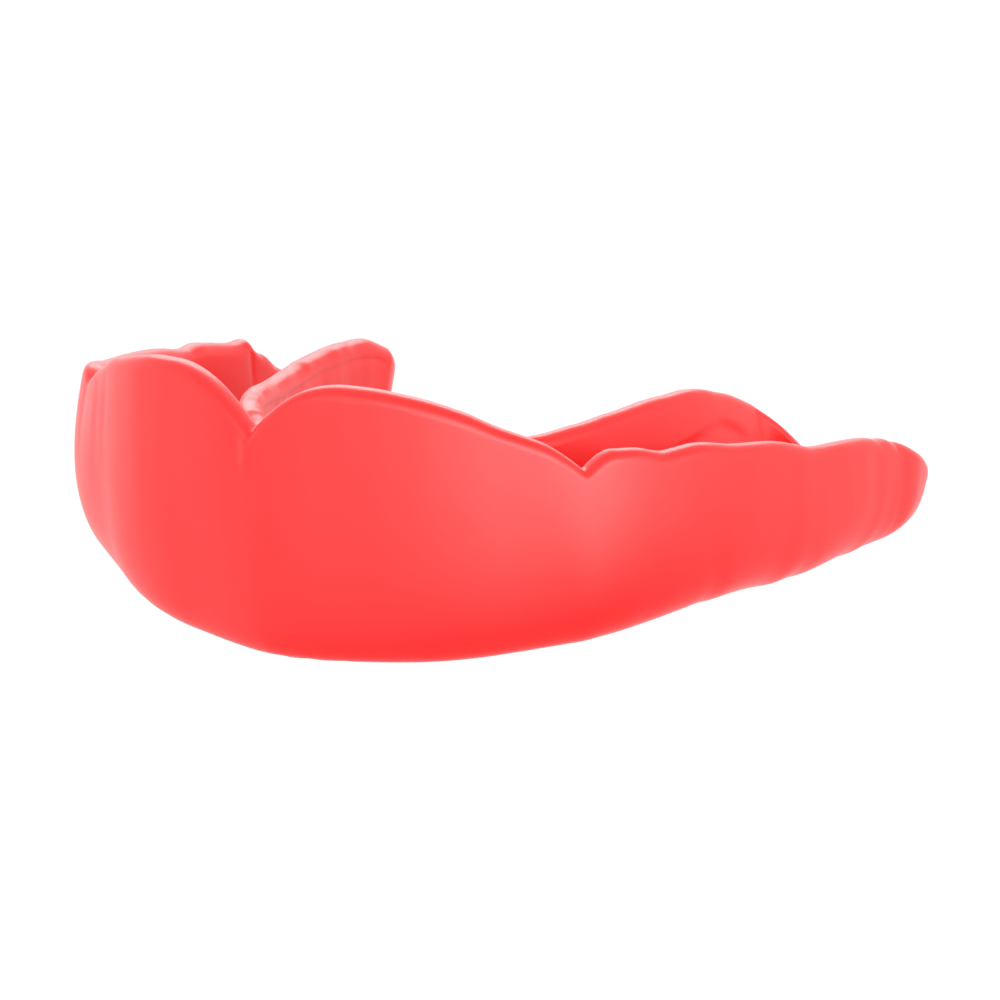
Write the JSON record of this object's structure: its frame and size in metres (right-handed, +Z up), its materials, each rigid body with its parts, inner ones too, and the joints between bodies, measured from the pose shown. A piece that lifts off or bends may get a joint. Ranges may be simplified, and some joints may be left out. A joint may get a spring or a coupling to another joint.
{
  "type": "sports mouthguard",
  "caption": "Soft one-piece mouthguard: a U-shaped channel that seats over the upper teeth, with a high notched lip wall, lower tongue wall and rounded molar ends.",
  "frame": {"origin": "centre of the bounding box's base, on the surface the guard lies on", "axes": "+X across the mouth, +Y from the front teeth to the molars, +Z up out of the open tooth channel; the guard lies on its biting face"},
  "size_m": [0.0644, 0.05, 0.023],
  "materials": {
    "guard": "satin, slightly translucent soft thermoplastic"
  },
  "bodies": {
    "root": {"mouthguard": "guard"}
  },
  "joints": []
}
